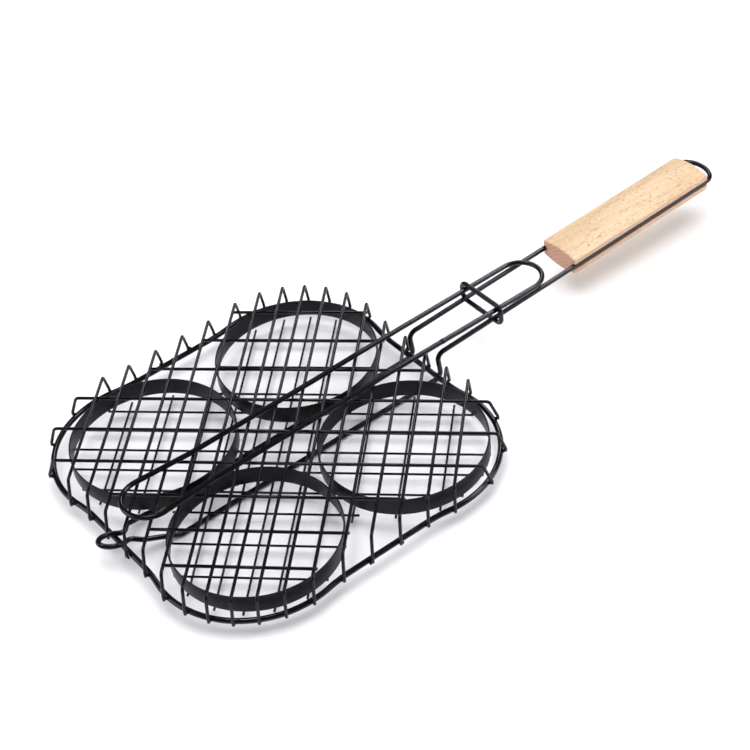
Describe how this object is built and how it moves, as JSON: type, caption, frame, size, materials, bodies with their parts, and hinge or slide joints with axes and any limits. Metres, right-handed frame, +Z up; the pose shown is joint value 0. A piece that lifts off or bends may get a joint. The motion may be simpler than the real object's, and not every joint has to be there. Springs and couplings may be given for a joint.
{
  "type": "grill basket",
  "caption": "Long-handled wire grill basket with round mould rings, a hinged wire lid, a sliding latch ring and a wooden grip.",
  "frame": {"origin": "on the surface that the basket stands on, under the middle of its bounding box", "axes": "+X along the handle, from the hinge towards the grip and tail loop; +Z up, out of the lid; +Y to the left seen from the hinge end"},
  "size_m": [0.5098, 0.2475, 0.0396],
  "materials": {
    "black_coat": "satin black non-stick coating on steel wire",
    "mould_coat": "smooth charcoal non-stick coating on sheet steel",
    "beech": "sanded, lightly oiled beech"
  },
  "bodies": {
    "base": {"base_cross_wire_01": "black_coat", "base_cross_wire_02": "black_coat", "base_cross_wire_03": "black_coat", "base_cross_wire_04": "black_coat", "base_cross_wire_05": "black_coat", "base_cross_wire_06": "black_coat", "base_cross_wire_07": "black_coat", "base_cross_wire_08": "black_coat", "base_cross_wire_09": "black_coat", "base_cross_wire_10": "black_coat", "base_cross_wire_11": "black_coat", "base_handle_wire": "black_coat", "base_long_wire_01": "black_coat", "base_long_wire_02": "black_coat", "base_long_wire_03": "black_coat", "base_long_wire_04": "black_coat", "base_long_wire_05": "black_coat", "base_long_wire_06": "black_coat", "base_long_wire_07": "black_coat", "base_long_wire_08": "black_coat", "base_long_wire_09": "black_coat", "base_long_wire_10": "black_coat", "base_long_wire_11": "black_coat", "mould_ring_far_left": "mould_coat", "mould_ring_far_right": "mould_coat", "mould_ring_near_left": "mould_coat", "mould_ring_near_right": "mould_coat", "wooden_grip": "beech"},
    "lid": {"lid_cross_wire_1": "black_coat", "lid_cross_wire_2": "black_coat", "lid_cross_wire_3": "black_coat", "lid_cross_wire_4": "black_coat", "lid_cross_wire_5": "black_coat", "lid_cross_wire_6": "black_coat", "lid_cross_wire_7": "black_coat", "lid_cross_wire_8": "black_coat", "lid_cross_wire_9": "black_coat", "lid_handle_loop": "black_coat", "lid_long_wire_01": "black_coat", "lid_long_wire_02": "black_coat", "lid_long_wire_03": "black_coat", "lid_long_wire_04": "black_coat", "lid_long_wire_05": "black_coat", "lid_long_wire_06": "black_coat", "lid_long_wire_07": "black_coat", "lid_long_wire_08": "black_coat", "lid_long_wire_09": "black_coat", "lid_long_wire_10": "black_coat", "lid_long_wire_11": "black_coat", "lid_long_wire_12": "black_coat", "lid_long_wire_13": "black_coat", "lid_long_wire_14": "black_coat", "lid_long_wire_15": "black_coat", "lid_long_wire_16": "black_coat", "lid_long_wire_17": "black_coat", "lid_rim_wire": "black_coat"},
    "latch_ring": {"latch_ring": "black_coat"}
  },
  "joints": [
    {"name": "lid_hinge", "type": "hinge", "parent": "base", "child": "lid", "pos_m": [-0.2401, 0, 0.00917], "axis": [0, -1, 0], "range_deg": [0, 112]},
    {"name": "latch_slide", "type": "slide", "parent": "base", "child": "latch_ring", "axis": [0.9991, 0, 0.0416], "range_m": [0, 0.066]}
  ]
}
